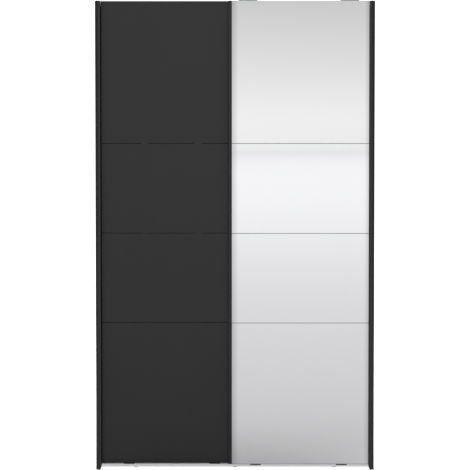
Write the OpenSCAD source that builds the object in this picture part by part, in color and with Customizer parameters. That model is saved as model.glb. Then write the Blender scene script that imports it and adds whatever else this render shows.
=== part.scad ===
// Two-door sliding wardrobe: a board carcass with a plain rear door and a mirrored front door.
// The origin is the middle of the footprint on the floor, +Z is up and the doors face -Y.
// The plain door is the left one and the mirrored door the right one, as seen from the front.

/* [Carcass] */
// Width over the two side panels
width = 1200; // [1000:10:1450]
// Height of the side panels and doors above the floor
height = 2020; // [1680:10:2430]
// Depth of the side panels
depth = 640; // [530:10:770]
// Thickness of the side panels
side_t = 22; // [18:0.5:27]
// Thickness of the top, bottom, partition and shelf boards
board_t = 16; // [13:0.5:20]
// Radius on the front edges of the side panels
side_edge_r = 3; // [1:0.5:5]
// Thickness of the hardboard back
back_t = 3; // [2.5:0.5:4]
// Distance from the back's rear face to the rear edges of the side panels
back_inset = 7; // [5:1:12]
// Depth of the grooves that hold the back
groove_d = 6; // [4:1:8]

/* [Compartments] */
// Number of shelves in the right compartment
shelf_count = 4; // [2:1:5]
// Clear height above the hat shelf
hat_space = 250; // [200:10:320]
// Drop from the hat shelf to the middle of the clothes rail
rail_drop = 50; // [40:5:80]
// Width of the oval clothes rail's tube
rail_tube_w = 15; // [12:1:18]
// Height of the oval clothes rail's tube
rail_tube_h = 30; // [25:1:36]
// Distance from the carcass front to the shelves' front edges
shelf_set = 20; // [10:5:60]

/* [Doors] */
// Thickness of each door, mirror included
door_t = 16; // [13.5:0.5:19.5]
// Distance from the front door's face to the rear door's face
door_pitch = 30; // [27:1:36]
// Thickness of the mirror panes
mirror_t = 4; // [3:0.5:5]
// Overlap of the closed doors in the middle
overlap = 56; // [40:2:70]
// Gap between a closed door and its side panel
end_gap = 2; // [1:0.5:4]
// Height taken by the top and bottom board of each door
end_board_h = 611; // [480:1:740]
// Joint between the boards of a door
board_gap = 1.5; // [1:0.5:3]
// Joint between the mirror panes
pane_gap = 1; // [0.5:0.5:2]
// Width of the grip profile on each door's meeting edge
profile_w = 14; // [11:0.5:17]
// Wall of the grip profile
profile_wall = 1.5; // [1.2:0.1:2]
// Distance from the side panels' front edges to the front door's face
face_set = 3; // [1:0.5:8]

/* [Running gear] */
// Rolling radius of the grooved wheels
wheel_r = 10; // [8:0.5:12]
// Height of the wheel flanges above the rolling radius
flange_h = 3; // [2:0.5:3.5]
// Width of the wheels
wheel_w = 9; // [8:0.5:10]
// Radius of the wheel axles
axle_r = 3; // [2.5:0.1:3.6]
// Distance from a carriage's middle to each of its two wheels
wheel_dx = 27; // [22:1:32]
// Width of the carriage brackets
bracket_w = 80; // [70:2:96]
// Thickness of the bracket steel
bracket_t = 2.5; // [2:0.5:3]
// Distance from a door's edge to the middle of each carriage
carriage_inset = 83; // [70:1:100]

/* [Base and guides] */
// Height of the glides under the carcass
glide_h = 12; // [10:1:15]
// Radius of the round base glides
glide_r = 10; // [8:1:14]
// Height of the guide ribs of the bottom track
rib_h = 9.5; // [8:0.5:12]
// Thickness of the guide ribs
rib_t = 1.6; // [1.4:0.1:2]
// Width of the bottom guides
guide_w = 46; // [38:1:56]
// Distance from a door's edge to the middle of each guide
guide_inset = 116; // [100:1:130]

/* [Fixings] */
// Radius of the screw shanks
screw_r = 1.9; // [1.5:0.1:2.2]
// Length of the screws under the head
screw_l = 10; // [9:0.5:11]
// Distance between the two wall brackets
wall_spacing = 600; // [480:20:720]
// Radius of the wall bracket's screw hole
wall_hole_r = 3; // [2.5:0.5:4]

/* [Hidden] */
// Clearances
fit = 0.1;          // holes around their own fixed pins and screws
axle_fit = 0.05;    // wheel bores around the axles
run_gap = 0.3;      // wheels above the rail and beside their axle heads
edge_gap = 0.5;     // rails and shelves between the boards, and adjusters behind their tabs
rib_gap = 1.5;      // door bottoms above the guide ribs
back_fit = 0.2;     // top and bottom boards ahead of the back
rear_fit = 2;       // shelves and partition ahead of those boards' rear edges
socket_fit = 0.3;   // clothes rail in its sockets
groove_fit = 0.5;   // each side of a rail rib in a wheel's groove
guide_fit = 0.7;    // each side of a track rib in a guide's slot
cut = 1;            // how far a cutting shape runs past the surface it opens

// Facets of round shapes in a preview
round_fn = 48;
wheel_fn = 96;

// Main planes of the carcass
inner_x = width / 2 - side_t;
front_y = -depth / 2;
rear_y = depth / 2;
back_y = rear_y - back_inset - back_t;
back_front = back_y - back_fit;
front_face = front_y + face_set;
rear_face = front_face + door_pitch;
carcass_set = 9;    // space behind the rear door
carcass_front = rear_face + door_t + carcass_set;
top_drop = 38;      // the running gear's height under the doors' top edge
top_z = height - top_drop;
top_under = top_z - board_t;
bottom_z = glide_h;
bottom_top = bottom_z + board_t;
half_board = board_t / 2;

// Doors
track_t = 2;
door_z = bottom_z + track_t + rib_h + rib_gap;
door_h = height - door_z;
door_w = inner_x - end_gap + overlap / 2;
door_x = inner_x - end_gap - door_w / 2;
seams = [height, height - end_board_h, height - door_h / 2, door_z + end_board_h, door_z];
board_count = len(seams) - 1;
function board_low(i, gap) = seams[i] + (i < board_count ? gap / 2 : 0);
function board_high(i, gap) = seams[i - 1] - (i > 1 ? gap / 2 : 0);
core_y = mirror_t + (door_t - mirror_t) / 2;
tongue_w = 6;
tongue_t = 1.5;
tie_w = 30;
tie_t = 2.5;
tie_inset = 187;
tie_x = door_w / 2 - tie_inset;
tie_end = 15;
tie_screw_inset = 40;
tie_screw_zs = [
    for (i = [1:board_count], z = [seams[i] + tie_screw_inset, seams[i - 1] - tie_screw_inset]) z
];

// Running gear
rail_t = 2;
rail_rib_w = 3;
rail_rib_h = 4;
rail_set = 12;
rail_pitch = 28;
rail_tail = 17;
rail_rear_y = carcass_front + rail_set;
rail_front_y = rail_rear_y + rail_pitch;
rail_back = rail_front_y + rail_tail;
rail_top = top_z + rail_t + rail_rib_h;
axle_z = rail_top + run_gap + wheel_r;
flange_r = wheel_r + flange_h;
groove_w = rail_rib_w + 2 * groove_fit;
rim_t = 1.5;
spoke_holes = 5;
spoke_hole_r = 1.3;
wheels_per_door = 4;
carriage_x = door_w / 2 - carriage_inset;
carriage_reach = max(bracket_w / 2, wheel_dx + flange_r);
wheel_xs = [for (c = [-carriage_x, carriage_x], dx = [-wheel_dx, wheel_dx]) c + dx]; // from the left
plate_drop = 115;
plate_gap = 8;
rear_plate_top = height - plate_gap;
arm_gap = 2;
arm_z = height + arm_gap;
arm_top = arm_z + bracket_t;
drop_set = 16.5;
drop_y = rail_front_y - drop_set;
drop_low = rail_top + run_gap;
tab_w = 8.6;
tab_h = 4.5;
tab_set = 25;
tab_y = front_face + tab_set;
shoulder_r = 5.5;
head_t = 1.2;
rivet_t = 1.5;
adjuster_w = 43;
adjuster_h = 5.5;
adjuster_y = tab_y + bracket_t + edge_gap;
adjuster_d = 34;
knob_r = 6.5;
adjuster_gap = 4.3;
bracket_screw_dx = 28;
bracket_screw_drops = [60, 100];
stop_gap = 1.5;
stop_w = 16;
stop_h = 20;
stop_x = door_x + carriage_x + carriage_reach + stop_gap;

// Bottom track and guides
track_set = 6;
track_front = front_face + track_set;
rib_ys = [front_face + door_t / 2, rear_face + door_t / 2];
track_flange_h = 12;
guide_slot = rib_t + 2 * guide_fit;
guide_roof = 1;
guide_foot = 6;
guide_plate_t = 3;
guide_plate_h = 32;
guide_x = door_w / 2 - guide_inset;
guide_nose = 3;
guide_screw_dx = 14;
guide_screw_rise = 20;
guide_screw_z = door_z + guide_screw_rise;
notch_w = 4;
notch_h = 2;
notch_pitch = 13;

// Fixings
screw_head_r = 3.5;
screw_head_t = 1.8;
screw_head_taper = 1;
cam_r = 7.5;
cam_floor = 3;
cam_h = board_t - cam_floor;
cam_in = 24;
cam_slot_w = 1.4;
cam_slot_l = 11;
cam_slot_d = 1;
cam_pocket = 4.2;
bolt_r = 3;
bolt_head_r = 3.5;
bolt_head_l = 3;
bolt_in = 10;
dowel_r = 4;
dowel_in = 10;
dowel_l = 30;
dowel_step = 32;
joint_front = 60;
joint_rear = 92;
joint_ys = [carcass_front + joint_front, back_front - joint_rear];
board_mids = [bottom_z + half_board, top_z - half_board];
pin_r = 2.5;
pin_in = 6;
pin_out = 8;
pin_head_r = 3.5;
rail_screw_count = 6;
rail_screw_inset = 60;
rail_screw_y = (rail_rear_y + rail_front_y) / 2;
track_screw_z = bottom_z + half_board;
back_screw_in = 148;
back_screw_mid = 150;
back_screw_xs = [back_screw_in - inner_x, -back_screw_mid, back_screw_mid, inner_x - back_screw_in];
screw_step = 2 * (inner_x - rail_screw_inset) / (rail_screw_count - 1);
rail_screw_xs = [for (i = [0:rail_screw_count - 1]) i * screw_step - inner_x + rail_screw_inset];

// Back
strip_w = 24;
strip_t = 1;
strip_web = 1.6;
panel_end = 2;

// Compartments
shelf_front = carcass_front + shelf_set;
shelf_rear = back_front - rear_fit;
shelf_clear = (top_under - bottom_top - shelf_count * board_t) / (shelf_count + 1);
function shelf_z(i) = top_under - i * (shelf_clear + board_t);
shelf_heights = [for (i = [1:shelf_count]) shelf_z(i)];
hat_z = top_under - hat_space - board_t;
pin_inset = 50;
pin_ys = [shelf_front + pin_inset, shelf_rear - pin_inset];
tube_wall = 1.5;
tube_y = (shelf_front + shelf_rear) / 2;
tube_z = hat_z - rail_drop;
socket_t = 3;
socket_wall = 2;
socket_depth = 12;
socket_side = 5;
socket_end = 14;
socket_w = rail_tube_w + 2 * socket_side;
socket_h = rail_tube_h + 2 * socket_end;
socket_screw_out = 9;
socket_screw_dz = rail_tube_h / 2 + socket_screw_out;

// Base
side_glide_l = 40;
side_glide_taper = 4;
base_glide_edge = 2;
base_glide_inset = 170;
base_glide_front = 20;
base_glide_rear = 78;
base_glide_x = width / 2 - base_glide_inset;
base_glide_ys = [carcass_front + base_glide_front, rear_y - base_glide_rear];
stem_r = 3;
stem_l = 8;

// Wall brackets
wall_w = 30;
wall_t = 2.5;
wall_leg = 40;
wall_rise = 32;
wall_hole_rise = 20;
wall_hole_z = top_z + wall_hole_rise;
wall_screw_in = 28;
wall_screw_y = rear_y - wall_screw_in;
wall_screw_xs = [for (s = [-1, 1], d = [-1, 1]) s * wall_spacing / 2 + d * wall_w / 4];

// ---- Shared shapes ----

// Block between two corners
module span(low, high) {
    translate(low) cube(high - low);
}

// Rotation that points +Z in a named direction
function turn(way) =
    way == "down" ? [180, 0, 0] :
    way == "front" ? [90, 0, 0] :
    way == "rear" ? [-90, 0, 0] :
    way == "left" ? [0, -90, 0] :
    way == "right" ? [0, 90, 0] : [0, 0, 0];

// Round bar that starts at a point and runs in a named direction
module rod(at, way, r, l) {
    translate(at) rotate(turn(way)) cylinder(r = r, h = l, $fn = round_fn);
}

// Section in Y and Z drawn out along X
module along_x(low, high) {
    translate([low, 0, 0]) rotate([90, 0, 90]) linear_extrude(high - low) children();
}

// Pan-head screw, with the underside of its head at the point
module screw(at, way) {
    rod(at, way, screw_r, screw_l);
    translate(at) rotate(turn(way)) translate([0, 0, -screw_head_t])
        cylinder(r1 = screw_head_r - screw_head_taper, r2 = screw_head_r, h = screw_head_t, $fn = round_fn);
}

// Hole for that screw, which also passes the plate that it holds
module screw_hole(at, way) {
    translate(at) rotate(turn(way)) translate([0, 0, -cut])
        cylinder(r = screw_r + fit, h = screw_l + 2 * cut, $fn = round_fn);
}

// ---- Carcass joints: cam locks, cam bolts and dowels ----

// The points where the top and bottom boards meet the side panels
module at_side_joints() {
    for (side = [0, 1], z = board_mids, y = joint_ys)
        mirror([side, 0, 0]) translate([inner_x, y, z]) children();
}

// The points where the partition meets the bottom board and the top board
module at_partition_joints() {
    for (y = joint_ys) {
        translate([0, y, bottom_top]) rotate([0, 90, 0]) children();
        translate([0, y, top_under]) rotate([0, -90, 0]) children();
    }
}

// Each of these is drawn at a joint: +X goes into the board that holds the bolt's thread
module joint_bolt(grow) {
    rod([bolt_head_l - cam_in, 0, 0], "right", bolt_r + grow, cam_in - bolt_head_l + bolt_in + grow);
    rod([-cam_in, 0, 0], "right", bolt_head_r + grow, bolt_head_l);
}

module joint_dowel(grow) {
    start = dowel_in - dowel_l - grow;
    rod([start, dowel_step, 0], "right", dowel_r + grow, dowel_l + 2 * grow);
}

module joint_cam(grow) {
    rod([-cam_in, 0, half_board - cam_h - grow], "up", cam_r + grow, cam_h + grow);
}

// Cam with a pocket for the bolt's head and a cross slot for the screwdriver
module cam_lock() {
    difference() {
        joint_cam(0);
        rod([-cam_in - cam_pocket, 0, 0], "right", bolt_head_r + 2 * fit, cam_in);
        translate([-cam_in, 0, half_board]) {
            cube([cam_slot_l, cam_slot_w, 2 * cam_slot_d], center = true);
            cube([cam_slot_w, cam_slot_l, 2 * cam_slot_d], center = true);
        }
    }
}

// Cams of the side joints open downward in the bottom board and upward in the top board
module at_side_cams() {
    for (side = [0, 1], end = [0, 1], y = joint_ys)
        mirror([side, 0, 0]) translate([inner_x, y, board_mids[end]]) mirror([0, 0, 1 - end]) children();
}

// Cams of the partition open to its left face, at both ends
module at_partition_cams() {
    for (y = joint_ys) {
        translate([0, y, bottom_top]) rotate([0, 90, 0]) mirror([0, 0, 1]) children();
        translate([0, y, top_under]) rotate([0, -90, 0]) children();
    }
}

// ---- Carcass boards ----

module side_outline() {
    translate([0, front_y + side_edge_r]) square([side_t, depth - side_edge_r]);
    translate([side_edge_r, front_y]) square([side_t - 2 * side_edge_r, 2 * side_edge_r]);
    for (x = [side_edge_r, side_t - side_edge_r])
        translate([x, front_y + side_edge_r]) circle(side_edge_r, $fn = round_fn);
}

// The right side panel, with holes for its shelf pins
module side_panel(pin_heights) {
    difference() {
        translate([inner_x, 0, bottom_z]) linear_extrude(height - bottom_z) side_outline();
        span([inner_x - cut, back_y - fit, bottom_z - cut],
             [inner_x + groove_d, back_y + back_t + fit, height + cut]);
        for (z = pin_heights, y = pin_ys)
            rod([inner_x - cut, y, z - pin_head_r], "right", pin_r + fit, pin_in + 2 * cut);
        for (z = board_mids, y = joint_ys) translate([inner_x, y, z]) {
            joint_bolt(fit);
            joint_dowel(fit);
        }
    }
}

module side_panel_left() {
    color("#3a3a3a") mirror([1, 0, 0]) difference() {
        side_panel([hat_z]);
        for (dz = [-socket_screw_dz, socket_screw_dz])
            screw_hole([inner_x - socket_t, tube_y, tube_z + dz], "right");
    }
}

module side_panel_right() {
    color("#3a3a3a") side_panel(shelf_heights);
}

module cross_board(z) {
    span([-inner_x, carcass_front, z], [inner_x, back_front, z + board_t]);
}

module joint_holes() {
    at_side_joints() {
        joint_bolt(fit);
        joint_dowel(fit);
    }
    at_side_cams() joint_cam(fit);
    at_partition_joints() {
        joint_bolt(fit);
        joint_dowel(fit);
    }
}

module top_board() {
    color("#3a3a3a") difference() {
        cross_board(top_under);
        joint_holes();
        rail_screw_holes();
        wall_screw_holes();
        back_screw_holes();
    }
}

module bottom_board() {
    color("#3a3a3a") difference() {
        cross_board(bottom_z);
        joint_holes();
        track_screw_holes();
        back_screw_holes();
        at_base_glides() rod([0, 0, -cut], "up", stem_r + fit, glide_h + stem_l + cut + fit);
    }
}

module centre_partition() {
    color("#3a3a3a") difference() {
        span([-half_board, carcass_front, bottom_top], [half_board, shelf_rear, top_under]);
        at_partition_joints() {
            joint_bolt(fit);
            joint_dowel(fit);
        }
        at_partition_cams() joint_cam(fit);
        for (z = shelf_heights, y = pin_ys)
            rod([half_board + cut, y, z - pin_head_r], "left", pin_r + fit, pin_in + 2 * cut);
        for (y = pin_ys)
            rod([-half_board - cut, y, hat_z - pin_head_r], "right", pin_r + fit, pin_in + 2 * cut);
        for (dz = [-socket_screw_dz, socket_screw_dz])
            screw_hole([-half_board - socket_t, tube_y, tube_z + dz], "right");
    }
}

module cam_locks() {
    color("#b9bbbd") {
        at_side_cams() cam_lock();
        at_partition_cams() cam_lock();
    }
}

module cam_bolts() {
    color("#c4c6c8") {
        at_side_joints() joint_bolt(0);
        at_partition_joints() joint_bolt(0);
    }
}

module dowels() {
    color("#c9a877") {
        at_side_joints() joint_dowel(0);
        at_partition_joints() joint_dowel(0);
    }
}

// ---- Back ----

module back_panel() {
    difference() {
        span([strip_web / 2 + fit, back_y, bottom_z + panel_end],
             [inner_x + groove_d - edge_gap, back_y + back_t, top_z - panel_end]);
        back_screw_holes();
    }
}

module back_panel_left() {
    color("#8d6b48") mirror([1, 0, 0]) back_panel();
}

module back_panel_right() {
    color("#8d6b48") back_panel();
}

module back_joint_strip() {
    strip_low = bottom_top + edge_gap;
    strip_high = top_under - edge_gap;
    color("#2b2b2b") {
        span([-strip_w / 2, back_y - fit - strip_t, strip_low], [strip_w / 2, back_y - fit, strip_high]);
        span([-strip_web / 2, back_y - fit, strip_low], [strip_web / 2, back_y + back_t + fit, strip_high]);
        span([-strip_w / 2, back_y + back_t + fit, strip_low],
             [strip_w / 2, back_y + back_t + fit + strip_t, strip_high]);
    }
}

// ---- Shelves and clothes rail ----

module shelf_board(low_x, high_x, z) {
    span([low_x + edge_gap, shelf_front, z], [high_x - edge_gap, shelf_rear, z + board_t]);
}

module shelf(i) {
    color("#3a3a3a") shelf_board(half_board, inner_x, shelf_z(i));
}

module hat_shelf() {
    color("#3a3a3a") shelf_board(-inner_x, -half_board, hat_z);
}

// Pin drawn at a board's face: it goes into the board toward +X and carries the shelf on -X
module shelf_pin() {
    rod([0, 0, -pin_head_r], "right", pin_r, pin_in);
    rod([-pin_out, 0, -pin_head_r], "right", pin_head_r, pin_out);
}

module shelf_pins() {
    color("#c4c6c8") {
        for (z = shelf_heights, y = pin_ys) {
            translate([inner_x, y, z]) shelf_pin();
            translate([half_board, y, z]) mirror([1, 0, 0]) shelf_pin();
        }
        for (y = pin_ys) {
            translate([-inner_x, y, hat_z]) mirror([1, 0, 0]) shelf_pin();
            translate([-half_board, y, hat_z]) shelf_pin();
        }
    }
}

// Upright oval, grown by a margin
module oval(grow) {
    straight = rail_tube_h - rail_tube_w;
    square([rail_tube_w + 2 * grow, straight], center = true);
    for (dz = [-straight / 2, straight / 2])
        translate([0, dz]) circle(rail_tube_w / 2 + grow, $fn = round_fn);
}

module clothes_rail() {
    color("silver") along_x(-inner_x + socket_t + edge_gap, -half_board - socket_t - edge_gap)
        translate([tube_y, tube_z]) difference() {
            oval(0);
            oval(-tube_wall);
        }
}

// Socket on the board at a face, with the rail on its +X side
module rail_socket() {
    difference() {
        along_x(0, socket_t) translate([tube_y, tube_z])
            square([socket_w, socket_h], center = true);
        for (dz = [-socket_screw_dz, socket_screw_dz])
            screw_hole([socket_t, tube_y, tube_z + dz], "left");
    }
    along_x(socket_t, socket_t + socket_depth) translate([tube_y, tube_z]) difference() {
        oval(socket_fit + socket_wall);
        oval(socket_fit);
    }
}

module rail_sockets() {
    color("#c4c6c8") {
        translate([-inner_x, 0, 0]) rail_socket();
        translate([-half_board, 0, 0]) mirror([1, 0, 0]) rail_socket();
    }
}

// ---- Base ----

module side_glides() {
    color("#202020") for (side = [0, 1], y = [front_y, rear_y - side_glide_l])
        mirror([side, 0, 0]) translate([0, y + side_glide_l, 0]) rotate([90, 0, 0])
            linear_extrude(side_glide_l) polygon([
                [width / 2, 0],
                [width / 2, glide_h],
                [inner_x, glide_h],
                [inner_x + side_glide_taper, 0]
            ]);
}

module at_base_glides() {
    for (x = [-base_glide_x, 0, base_glide_x], y = base_glide_ys)
        translate([x, y, 0]) children();
}

module base_glides() {
    color("#202020") at_base_glides() {
        cylinder(r1 = glide_r - base_glide_edge, r2 = glide_r, h = base_glide_edge, $fn = round_fn);
        rod([0, 0, base_glide_edge], "up", glide_r, glide_h - base_glide_edge);
        rod([0, 0, glide_h], "up", stem_r, stem_l);
    }
}

// ---- Rail and track ----

module top_rail() {
    rail_x = inner_x - edge_gap;
    color("#c8c8c8") difference() {
        along_x(-rail_x, rail_x) {
            translate([carcass_front, top_z]) square([rail_back - carcass_front, rail_t]);
            for (y = [rail_rear_y, rail_front_y]) translate([y - rail_rib_w / 2, top_z]) {
                square([rail_rib_w, rail_t + rail_rib_h - rail_rib_w / 2]);
                translate([rail_rib_w / 2, rail_t + rail_rib_h - rail_rib_w / 2])
                    circle(rail_rib_w / 2, $fn = round_fn);
            }
        }
        rail_screw_holes();
    }
}

module bottom_track() {
    track_x = inner_x - edge_gap;
    color("#c8c8c8") difference() {
        along_x(-track_x, track_x) {
            translate([track_front, bottom_z]) square([carcass_front - track_front, track_t]);
            for (y = rib_ys) translate([y - rib_t / 2, bottom_z]) square([rib_t, track_t + rib_h]);
            translate([carcass_front - track_t, bottom_z]) square([track_t, track_t + track_flange_h]);
        }
        track_screw_holes();
    }
}

// Grooved block clipped over the end of a rail rib
module track_stop(y) {
    difference() {
        span([stop_x, y - stop_w / 2, top_z + rail_t],
             [inner_x - edge_gap, y + stop_w / 2, top_z + rail_t + stop_h]);
        span([stop_x - cut, y - rail_rib_w / 2 - fit, top_z + rail_t - cut],
             [inner_x, y + rail_rib_w / 2 + fit, rail_top + fit]);
    }
}

module track_stops() {
    color("#202020") for (side = [0, 1], y = [rail_rear_y, rail_front_y])
        mirror([side, 0, 0]) track_stop(y);
}

// ---- Screws of the carcass ----

module rail_screw_holes() {
    for (x = rail_screw_xs) screw_hole([x, rail_screw_y, top_z + rail_t], "down");
}

module track_screw_holes() {
    for (x = rail_screw_xs) screw_hole([x, carcass_front - track_t, track_screw_z], "rear");
}

module wall_screw_holes() {
    for (x = wall_screw_xs) screw_hole([x, wall_screw_y, top_z + wall_t], "down");
}

module back_screw_holes() {
    for (x = back_screw_xs, z = board_mids) screw_hole([x, back_y + back_t, z], "front");
}

module carcass_screws() {
    color("#9a9c9e") {
        for (x = rail_screw_xs) screw([x, rail_screw_y, top_z + rail_t], "down");
        for (x = rail_screw_xs) screw([x, carcass_front - track_t, track_screw_z], "rear");
        for (x = wall_screw_xs) screw([x, wall_screw_y, top_z + wall_t], "down");
        for (x = back_screw_xs, z = board_mids) screw([x, back_y + back_t, z], "front");
        for (dz = [-socket_screw_dz, socket_screw_dz]) {
            screw([-inner_x + socket_t, tube_y, tube_z + dz], "left");
            screw([-half_board - socket_t, tube_y, tube_z + dz], "right");
        }
    }
}

module wall_brackets() {
    color("#9a9c9e") difference() {
        for (side = [-1, 1]) translate([side * wall_spacing / 2, 0, 0]) {
            span([-wall_w / 2, rear_y - wall_leg, top_z], [wall_w / 2, rear_y, top_z + wall_t]);
            span([-wall_w / 2, rear_y - wall_t, top_z], [wall_w / 2, rear_y, top_z + wall_rise]);
        }
        for (side = [-1, 1]) translate([side * wall_spacing / 2, rear_y + cut, wall_hole_z])
            rod([0, 0, 0], "front", wall_hole_r, wall_t + 2 * cut);
        wall_screw_holes();
    }
}

// ---- Doors ----
// Each door is drawn with its meeting edge toward +X, and face is the Y of its front face.

module place_left() {
    translate([-door_x, 0, 0]) children();
}

module place_right() {
    translate([door_x, 0, 0]) mirror([1, 0, 0]) children();
}

module at_door_screws(face) {
    back = face + door_t;
    for (x = [-tie_x, tie_x], z = tie_screw_zs) translate([x, back + tie_t, z]) children();
    for (c = [-carriage_x, carriage_x], dx = [-bracket_screw_dx, bracket_screw_dx])
        for (drop = bracket_screw_drops)
            translate([c + dx, back + bracket_t, height - drop]) children();
    for (c = [-guide_x, guide_x], dx = [-guide_screw_dx, guide_screw_dx])
        translate([c + dx, back + guide_plate_t, guide_screw_z]) children();
}

module door_screws(face) {
    color("#9a9c9e") at_door_screws(face) screw([0, 0, 0], "front");
}

module door_screw_holes(face) {
    at_door_screws(face) screw_hole([0, 0, 0], "front");
}

// One board of a door, from a depth behind the face to the door's back
module door_board(i, face, skin) {
    difference() {
        span([-door_w / 2, face + skin, board_low(i, board_gap)],
             [door_w / 2 - profile_w, face + door_t, board_high(i, board_gap)]);
        span([door_w / 2 - profile_w - tongue_w - edge_gap, face + core_y - tongue_t / 2 - fit, 0],
             [door_w / 2, face + core_y + tongue_t / 2 + fit, height + cut]);
        door_screw_holes(face);
    }
}

module left_door_panel(i) {
    color("#2e2e2e") place_left() door_board(i, rear_face, 0);
}

module right_door_panel(i) {
    color("#2e2e2e") place_right() door_board(i, front_face, mirror_t);
}

module mirror_pane(i) {
    color("#dfe6e8") place_right()
        span([-door_w / 2, front_face, board_low(i, pane_gap)],
             [door_w / 2 - profile_w, front_face + mirror_t, board_high(i, pane_gap)]);
}

// Hollow extruded edge with a tongue that seats in the boards
module edge_profile(face) {
    low_x = door_w / 2 - profile_w;
    color("#1d1d1d") translate([0, 0, door_z]) linear_extrude(door_h) {
        difference() {
            translate([low_x, face]) square([profile_w, door_t]);
            translate([low_x + profile_wall, face + profile_wall])
                square([profile_w - 2 * profile_wall, door_t - 2 * profile_wall]);
        }
        translate([low_x - tongue_w, face + core_y - tongue_t / 2]) square([tongue_w, tongue_t]);
    }
}

module tie_rails(face) {
    color("#9a9c9e") difference() {
        for (x = [-tie_x, tie_x])
            span([x - tie_w / 2, face + door_t, door_z + tie_end],
                 [x + tie_w / 2, face + door_t + tie_t, height - tie_end]);
        door_screw_holes(face);
    }
}

// Nylon foot that straddles the guide rib, with a plate on the door's back
module door_guides(face) {
    rib = face + door_t / 2;
    color("#161616") difference() {
        for (c = [-guide_x, guide_x]) {
            span([c - guide_w / 2, face + guide_nose, door_z - guide_foot],
                 [c + guide_w / 2, face + door_t + guide_plate_t, door_z]);
            span([c - guide_w / 2, face + door_t, door_z - cut],
                 [c + guide_w / 2, face + door_t + guide_plate_t, door_z + guide_plate_h]);
        }
        span([-door_w, rib - guide_slot / 2, door_z - guide_foot - cut],
             [door_w, rib + guide_slot / 2, door_z - guide_roof]);
        for (c = [-guide_x, guide_x], n = [-1, 0, 1])
            span([c + n * notch_pitch - notch_w / 2, face, door_z - guide_foot - cut],
                 [c + n * notch_pitch + notch_w / 2, face + door_t, door_z - guide_foot + notch_h]);
        door_screw_holes(face);
    }
}

// ---- Carriages ----

module at_axles(face_y) {
    for (c = [-carriage_x, carriage_x], dx = [-wheel_dx, wheel_dx])
        translate([c + dx, face_y, axle_z]) children();
}

module left_carriage_brackets() {
    back = rear_face + door_t;
    color("#9a9c9e") place_left() difference() {
        for (c = [-carriage_x, carriage_x])
            span([c - bracket_w / 2, back, height - plate_drop],
                 [c + bracket_w / 2, back + bracket_t, rear_plate_top]);
        door_screw_holes(rear_face);
        at_axles(back - cut) rod([0, 0, 0], "rear", axle_r + fit, bracket_t + 2 * cut);
    }
}

// Back plate, arm over the rear door, and the drop plate that carries the axles
module right_carriage_brackets() {
    back = front_face + door_t;
    color("#9a9c9e") place_right() difference() {
        for (c = [-carriage_x, carriage_x]) translate([c, 0, 0]) {
            span([-bracket_w / 2, back, height - plate_drop], [bracket_w / 2, back + bracket_t, arm_top]);
            span([-bracket_w / 2, back, arm_z], [bracket_w / 2, drop_y + bracket_t, arm_top]);
            span([-bracket_w / 2, drop_y, drop_low], [bracket_w / 2, drop_y + bracket_t, arm_top]);
            for (x = [-bracket_w / 2, bracket_w / 2 - tab_w])
                span([x, tab_y, arm_z], [x + tab_w, tab_y + bracket_t, arm_top + tab_h]);
        }
        door_screw_holes(front_face);
        at_axles(drop_y - cut) rod([0, 0, 0], "rear", axle_r + fit, bracket_t + 2 * cut);
    }
}

// Height adjuster on each front carriage: a housing and the knob beside it
module right_height_adjusters() {
    knob_x = bracket_w / 2 - tab_w - knob_r;
    housing_x = knob_x - knob_r - adjuster_gap - adjuster_w;
    color("#161616") place_right() for (c = [-carriage_x, carriage_x]) translate([c, 0, arm_top]) {
        span([housing_x, adjuster_y, 0], [housing_x + adjuster_w, adjuster_y + adjuster_d, adjuster_h]);
        rod([knob_x, adjuster_y + knob_r, 0], "up", knob_r, adjuster_h);
    }
}

// Axle of one wheel: core, shoulder beside the plate and a head that keeps the wheel on
module axle(plate_y, wheel_y, rivet) {
    wheel_low = wheel_y - wheel_w / 2 - run_gap;
    wheel_high = wheel_y + wheel_w / 2 + run_gap;
    plate_high = plate_y + bracket_t;
    rod([0, plate_y, 0], "rear", axle_r, wheel_high - plate_y);
    rod([0, plate_high, 0], "rear", shoulder_r, wheel_low - plate_high);
    rod([0, wheel_high, 0], "rear", shoulder_r, head_t);
    if (rivet) rod([0, plate_y, 0], "front", shoulder_r, rivet_t);
}

module left_carriage_axles() {
    color("#c4c6c8") place_left() at_axles(0) axle(rear_face + door_t, rail_rear_y, false);
}

module right_carriage_axles() {
    color("#c4c6c8") place_right() at_axles(0) axle(drop_y, rail_front_y, true);
}

// Grooved wheel with its axis along Y
module wheel() {
    half = wheel_w / 2;
    bore = axle_r + axle_fit;
    color("#e8e6df") rotate([90, 0, 0]) difference() {
        rotate_extrude($fn = wheel_fn) polygon([
            [bore, -half],
            [flange_r, -half],
            [flange_r, -half + rim_t],
            [wheel_r, -groove_w / 2],
            [wheel_r, groove_w / 2],
            [flange_r, half - rim_t],
            [flange_r, half],
            [bore, half]
        ]);
        for (a = [0:360 / spoke_holes:359])
            rotate([0, 0, a]) translate([(shoulder_r + wheel_r) / 2, 0, -half - cut])
                cylinder(r = spoke_hole_r, h = wheel_w + 2 * cut, $fn = round_fn);
    }
}

module left_wheel(i) {
    translate([wheel_xs[i - 1] - door_x, rail_rear_y, axle_z]) wheel();
}

module right_wheel(i) {
    translate([wheel_xs[i - 1] + door_x, rail_front_y, axle_z]) wheel();
}

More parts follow.
